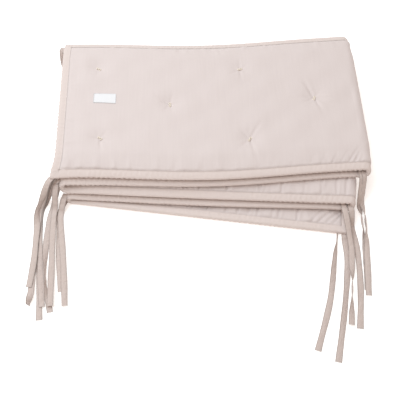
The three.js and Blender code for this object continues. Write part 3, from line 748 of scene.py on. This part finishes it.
rim_along, rim_across = binding_stations()
(tape_outer, tape_inner), rim_run = binding_skins(rim_along, rim_across)
tape_widths = np.linspace(0, BINDING_WIDTH, tape_outer.shape[1])
tape_lengths = np.append(rim_run, rim_run[-1] + STATION_SPACING)
binding = slab("binding", tape_outer, tape_inner, tape_lengths, tape_widths, closed=True)
binding.data.materials.append(cloth_material(
    "binding_cotton", colour=(0.70, 0.605, 0.57), roughness=0.88, threads=2400.0,
    crumple_size=0.009, crumple_depth=0.0012, slub_tone=0.02))
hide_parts("edge_binding")
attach(binding, "root")


# ---- Label ----
# A small bare patch of bright white satin, woven of fine thread. It is sewn flat on the top face
# near the first end.

LABEL_PLACE = (0.0885, 0.1725)  # of its middle, along the panel and across it
LABEL_SIZE = (0.045, 0.024)
LABEL_CLOTH = 0.0005     # thickness
LABEL_LIFT = 0.0004      # from the panel's face
LABEL_TURN = np.radians(-1)
LABEL_LINES = (16, 9)    # of its grid, along and across


def label_skin(length_shares, width_shares, lift):
    """The patch's grid, turned a little, laid on the panel's face and lifted off it."""
    lengthways, widthways = np.meshgrid((length_shares - 0.5) * LABEL_SIZE[0],
                                        (width_shares - 0.5) * LABEL_SIZE[1], indexing="ij")
    along = LABEL_PLACE[0] + lengthways * np.cos(LABEL_TURN) - widthways * np.sin(LABEL_TURN)
    across = LABEL_PLACE[1] + lengthways * np.sin(LABEL_TURN) + widthways * np.cos(LABEL_TURN)
    face = panel_directions(along, across)[2]
    return panel_skin(along, across, 1) + face * lift


label_lengths, label_widths = (np.linspace(0, 1, lines) for lines in LABEL_LINES)
label = slab("label_patch", label_skin(label_lengths, label_widths, LABEL_LIFT + LABEL_CLOTH),
             label_skin(label_lengths, label_widths, LABEL_LIFT),
             label_lengths * LABEL_SIZE[0], label_widths * LABEL_SIZE[1])
label.data.materials.append(cloth_material(
    "label_satin", colour=(0.79, 0.79, 0.805), roughness=0.6, threads=3000.0,
    crumple_size=0.008, crumple_depth=0.0008, slub_tone=0.02))
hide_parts("label")
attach(label, "root")


# ---- Tie tapes ----
# Narrow cotton tapes, folded lengthwise and sewn along one edge. They are caught in the stitching
# of the near edge at its ends and folds, and one at a far corner, drop to the table and lie on it.

TIE_WIDTH = 0.012
TIE_CLOTH = 0.001        # thickness at the folded and the sewn edge
TIE_LIFT = 0.0019        # height of one tape lying on another
SEWN_IN = 0.012          # length of a tape inside the edge that it is sewn to
TIE_CUP = 0.0011         # how far a tape's edges bend down from its middle
TIE_DROP_STEPS = 20      # from the sewn end to where the tape meets the table
TIE_LYING_STEPS = 46
TIE_COLUMNS = 9
TIE_SPAN = (0.94, 0.05)  # share of its width that a tape lies out to, and how much that wavers
TIE_SPAN_LENGTH = 0.013
TIE_CRUMPLES = 5         # number of crumple waves, their lengths and their height
CRUMPLE_LENGTHS = (0.012, 0.035)
CRUMPLE_HEIGHT = 0.00022
TIE_SEED, FAR_TIE_SEED = 100, 200

# Where each tape leaves the edge, then the places over which it goes on: knee, bend, middle and
# tip. Turns about its own length at all five, in degrees, and how many tapes it lies on.
TIES = {
    "tie_top_end_a": (
        (-0.3118, -0.1693, 0.0616), (-0.34, -0.203), (-0.341, -0.25), (-0.341, -0.315),
        (-0.345, -0.367), (0, 72, 0, 0, 0), 3),
    "tie_top_end_b": (
        (-0.31, -0.1668, 0.0581), (-0.338, -0.199), (-0.34, -0.25), (-0.341, -0.374),
        (-0.342, -0.403), (0, 0, 0, 0, 70), 2),
    "tie_top_end_c": (
        (-0.307, -0.1661, 0.0572), (-0.336, -0.196), (-0.337, -0.252), (-0.33, -0.315),
        (-0.319, -0.404), (0, 0, 0, 0, 0), 1),
    "tie_top_end_d": (
        (-0.2988, -0.166, 0.0515), (-0.333, -0.192), (-0.337, -0.252), (-0.33, -0.33),
        (-0.322, -0.428), (0, 0, 0, 0, 0), 0),
    "tie_second_fold_a": (
        (-0.3035, -0.1745, 0.047), (-0.3105, -0.21), (-0.3105, -0.25), (-0.307, -0.325),
        (-0.3035, -0.404), (0, 0, 0, 0, 0), 3),
    "tie_second_fold_b": (
        (-0.2998, -0.1761, 0.0385), (-0.3165, -0.207), (-0.322, -0.262), (-0.316, -0.35),
        (-0.304, -0.414), (0, 0, 0, 85, 0), 0),
    "tie_fourth_fold_a": (
        (-0.2918, -0.1905, 0.0205), (-0.2985, -0.213), (-0.296, -0.245), (-0.286, -0.32),
        (-0.278, -0.403), (0, 0, 0, 0, 0), 1),
    "tie_fourth_fold_b": (
        (-0.2901, -0.1886, 0.0098), (-0.3, -0.207), (-0.299, -0.25), (-0.294, -0.32),
        (-0.287, -0.375), (0, 0, 0, 0, 0), 0),
    "tie_first_fold_a": (
        (0.2872, -0.175, 0.0615), (0.29, -0.215), (0.29, -0.244), (0.287, -0.315),
        (0.279, -0.387), (20, 22, 90, 0, 0), 0),
    "tie_first_fold_b": (
        (0.2926, -0.1752, 0.0615), (0.2955, -0.209), (0.2965, -0.246), (0.289, -0.315),
        (0.279, -0.398), (20, 22, 90, 0, 0), 1),
    "tie_third_fold_a": (
        (0.2525, -0.229, 0.0285), (0.26, -0.298), (0.256, -0.335), (0.249, -0.385),
        (0.238, -0.454), (0, 0, 0, 90, 0), 3),
    "tie_third_fold_b": (
        (0.266, -0.23, 0.028), (0.269, -0.262), (0.272, -0.305), (0.267, -0.38),
        (0.254, -0.46), (0, 0, 0, 0, 0), 0),
    "tie_last_end_a": (
        (0.2388, -0.2721, 0.0015), (0.235, -0.288), (0.227, -0.32), (0.207, -0.405),
        (0.173, -0.498), (75, 75, 35, 0, 0), 0),
    "tie_last_end_b": (
        (0.2516, -0.2744, 0.0042), (0.251, -0.285), (0.2495, -0.33), (0.233, -0.415),
        (0.2065, -0.519), (0, 0, 0, 20, 0), 0),
}
# The tape at the far corner hangs down the end of the stack: places that it passes over, its turns
# in degrees, and the shares of its length where they are.
FAR_TIE_STOPS = [(-0.3048, 0.151, 0.0589), (-0.3128, 0.16, 0.058), (-0.3128, 0.139, 0.0505),
                 (-0.3095, 0.126, 0.035), (-0.301, 0.117, 0.018), (-0.292, 0.104, 0.005),
                 (-0.287, 0.084, 0.0017), (-0.281, 0.05, 0.001)]
FAR_TIE_TURNS = (20, 60, 35, 0)
FAR_TIE_PLACES = (0, 0.25, 0.5, 0.75)
FAR_TIE_STEPS = 50
SPAN_STEPS = 60          # points worked out on each span of a route


def smooth_route(stops, shares):
    """Points at the shares of a curve's length: a centripetal Catmull-Rom curve through the stops.

    Each span is a cubic whose end slopes come from the neighbouring stops, weighted by the roots
    of the spans between them.
    """
    stops = np.asarray(stops, float)
    padded = np.concatenate([[2 * stops[0] - stops[1]], stops, [2 * stops[-1] - stops[-2]]])
    gaps = np.sqrt(np.linalg.norm(np.diff(padded, axis=0), axis=1))
    before, here, after = gaps[:-2, None], gaps[1:-1, None], gaps[2:, None]
    p0, p1, p2, p3 = padded[:-3], padded[1:-2], padded[2:-1], padded[3:]
    slope_1 = ((p1 - p0) / before - (p2 - p0) / (before + here) + (p2 - p1) / here) * here
    slope_2 = ((p2 - p1) / here - (p3 - p1) / (here + after) + (p3 - p2) / after) * here
    t = np.linspace(0, 1, SPAN_STEPS, endpoint=False)[None, :, None]
    p1, p2, slope_1, slope_2 = (a[:, None] for a in (p1, p2, slope_1, slope_2))
    dense = ((2 * t ** 3 - 3 * t ** 2 + 1) * p1 + (t ** 3 - 2 * t ** 2 + t) * slope_1
             + (3 * t ** 2 - 2 * t ** 3) * p2 + (t ** 3 - t ** 2) * slope_2)
    dense = np.concatenate([dense.reshape(-1, stops.shape[1]), stops[-1:]])
    run = distances_along(dense)
    return np.stack([np.interp(shares * run[-1], run, dense[:, axis])
                     for axis in range(stops.shape[1])], axis=1)


def eased_turns(turns, places, shares):
    """Turns in radians that ease from one to the next between the places."""
    result = np.full(len(shares), float(turns[0]))
    for before, after, turn in zip(places[:-1], places[1:], turns[1:]):
        result = mix(result, turn, eased((shares - before) / (after - before)))
    return np.radians(result)


def tape_skins(centre, roll, seed):
    """Upper and lower face of a flat tape carried along a centre line and turned about it.

    Its width is level and square to the line before the turn. The faces are a cloth's thickness
    apart at the two long edges, where the tape is folded and sewn, and closer between them. Both
    cup down to the edges, as a square does, and carry crumples that are a sum of uneven waves.
    """
    chance = np.random.default_rng(seed)
    forward = unit(np.gradient(centre, axis=0))
    sideways = unit(np.cross(np.array((0, 0, 1.0)), forward))
    face_up = np.cross(forward, sideways)
    wide = sideways * np.cos(roll)[:, None] - face_up * np.sin(roll)[:, None]
    out = np.cross(forward, wide)
    run = distances_along(centre)
    widthways = np.linspace(1, -1, TIE_COLUMNS)
    waver = TIE_SPAN[1] * np.sin(run / TIE_SPAN_LENGTH + chance.uniform(0, 6))
    half_width = TIE_WIDTH / 2 * (TIE_SPAN[0] + waver)
    cup = -TIE_CUP * widthways ** 2
    crumple = np.zeros((len(run), len(widthways)))
    for _ in range(TIE_CRUMPLES):
        wave = chance.uniform(*CRUMPLE_LENGTHS)
        phase, slant = chance.uniform(0, 6.3), chance.uniform(-1.2, 1.2)
        ripple = np.sin(2 * np.pi * run[:, None] / wave + phase + slant * widthways)
        crumple += CRUMPLE_HEIGHT * ripple
    thick = TIE_CLOTH / 2 * (0.6 + 0.4 * np.abs(widthways) ** 4)
    middle = centre[:, None] + wide[:, None] * (half_width[:, None] * widthways)[..., None]
    middle = middle + out[:, None] * (cup + crumple * (1 - 0.5 * widthways ** 2))[..., None]
    upper = middle + out[:, None] * thick[None, :, None]
    lower = middle - out[:, None] * thick[None, :, None]
    return upper, lower, run


def lay_tape(name, centre, roll, seed):
    """A tie tape as a piece, kept from sinking into the table."""
    upper, lower, run = tape_skins(centre, roll, seed)
    for skin in (upper, lower):
        skin -= FLAT_SPOT
        skin[..., 2] = np.maximum(skin[..., 2], 0.0)
    tape = slab(name.replace("tie_", "tape_"), upper, lower, run,
                np.linspace(0, TIE_WIDTH, TIE_COLUMNS))
    tape.data.materials.append(tie_cotton)
    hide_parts(name)
    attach(tape, "root")


# Painted shade darkens a tape along its long edges, as a dark line at the sewn edge that also
# stands for its stitching, and a fainter one at the folded edge.
tie_cotton = cloth_material(
    "tie_cotton", colour=(0.60, 0.505, 0.465), roughness=0.88, threads=2400.0,
    crumple_size=0.007, crumple_depth=0.0022, slub_tone=0.03,
    seam_shade_lines=((0.0004, 0.68), (0.0114, 0.85)))

# A tape starts inside the edge that it is sewn to. It keeps its height up to its root, eases down
# to the table on the way to its knee, and lies there, higher where it stands on its edge.
for number, (name, (root, knee, bend, middle, tip, turns, layer)) in enumerate(TIES.items()):
    leaves = np.array(root[:2])
    sewn_end = leaves + SEWN_IN * (leaves - knee) / math.dist(leaves, knee)
    stops = np.array([sewn_end, leaves, knee, bend, middle, tip])
    reached = distances_along(stops)
    places = reached / reached[-1]
    shares = np.concatenate([np.linspace(0, places[2], TIE_DROP_STEPS, endpoint=False),
                             np.linspace(places[2], 1, TIE_LYING_STEPS)])
    roll = eased_turns(turns, places[1:], shares)
    half_height = (np.abs(np.sin(roll)) * TIE_WIDTH + np.abs(np.cos(roll)) * TIE_CLOTH) / 2
    lying = layer * TIE_LIFT + TIE_CUP + half_height
    height = mix(lying, root[2], 1 - eased((shares - places[1]) / (places[2] - places[1])))
    centre = np.column_stack([smooth_route(stops, shares), height])
    lay_tape(name, centre, roll, TIE_SEED + number)

far_shares = np.linspace(0, 1, FAR_TIE_STEPS)
lay_tape("tie_far_corner", smooth_route(FAR_TIE_STOPS, far_shares),
         eased_turns(FAR_TIE_TURNS, FAR_TIE_PLACES, far_shares), FAR_TIE_SEED)


# ---- Tuft knots ----
# Each tuft is a few turns of cream thread through the whole panel, tied off in a small flat knot
# that sits in the hollow on either face.

KNOT_LENGTH = 0.0088
KNOT_RADIUS = 0.00095    # of the bunch of threads
KNOT_STEPS, KNOT_SIDES = 28, 6
KNOT_SEED = 5
THREAD_COLOUR = (0.83, 0.75, 0.65)
THREAD_ROUGHNESS = 0.7


def knot_loop(centre, first, second, face, turn):
    """A closed tube along a figure of eight: sine of the angle along, and of twice it across.

    One strand rises over the other where they cross.
    """
    angle = np.linspace(0, 2 * np.pi, KNOT_STEPS, endpoint=False)
    lengthways = np.sin(angle) * KNOT_LENGTH / 2
    widthways = np.sin(2 * angle) * KNOT_LENGTH / 5
    rise = KNOT_RADIUS * (0.9 + 0.6 * np.cos(angle) ** 2 * np.sign(np.cos(angle)))
    tilt = np.cos(turn) * first + np.sin(turn) * second
    cross = np.cos(turn) * second - np.sin(turn) * first
    line = centre + lengthways[:, None] * tilt + widthways[:, None] * cross + rise[:, None] * face
    ahead = unit(np.roll(line, -1, axis=0) - np.roll(line, 1, axis=0))
    side = unit(np.cross(ahead, face))
    top = np.cross(side, ahead)
    around = np.linspace(0, 2 * np.pi, KNOT_SIDES, endpoint=False)
    return (line[:, None] + KNOT_RADIUS * (np.cos(around)[None, :, None] * side[:, None]
                                           + np.sin(around)[None, :, None] * top[:, None]))


step, place = (a.ravel() for a in np.meshgrid(np.arange(KNOT_STEPS), np.arange(KNOT_SIDES),
                                              indexing="ij"))
row, next_row = step * KNOT_SIDES, (step + 1) % KNOT_STEPS * KNOT_SIDES
next_place = (place + 1) % KNOT_SIDES
knot_quads = np.stack([row + place, next_row + place, next_row + next_place, row + next_place],
                      axis=1)
knot_points, knot_faces = [], []
knot_chance = np.random.default_rng(KNOT_SEED)
forwards, sideways, faces_out = panel_directions(tufts[:, 0], tufts[:, 1])
for side in (1, -1):
    seats = panel_skin(tufts[:, 0], tufts[:, 1], side)
    for seat, first, second, face in zip(seats, forwards, sideways, faces_out):
        loop = knot_loop(seat, first, second, face * side, knot_chance.uniform(0, np.pi))
        knot_faces.append(knot_quads + sum(len(points) for points in knot_points))
        knot_points.append(loop.reshape(-1, 3))
knot_mesh = bpy.data.meshes.new("tuft_knots")
knot_mesh.from_pydata(np.concatenate(knot_points).tolist(), [], np.concatenate(knot_faces).tolist())
knot_mesh.polygons.foreach_set("use_smooth", np.ones(len(knot_mesh.polygons), dtype=bool))
knots = add_object("tuft_knots", knot_mesh)
knot_mesh.materials.append(new_material("cream_thread", {
    "Base Color": (*THREAD_COLOUR, 1), "Roughness": THREAD_ROUGHNESS}))
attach(knots, "root")
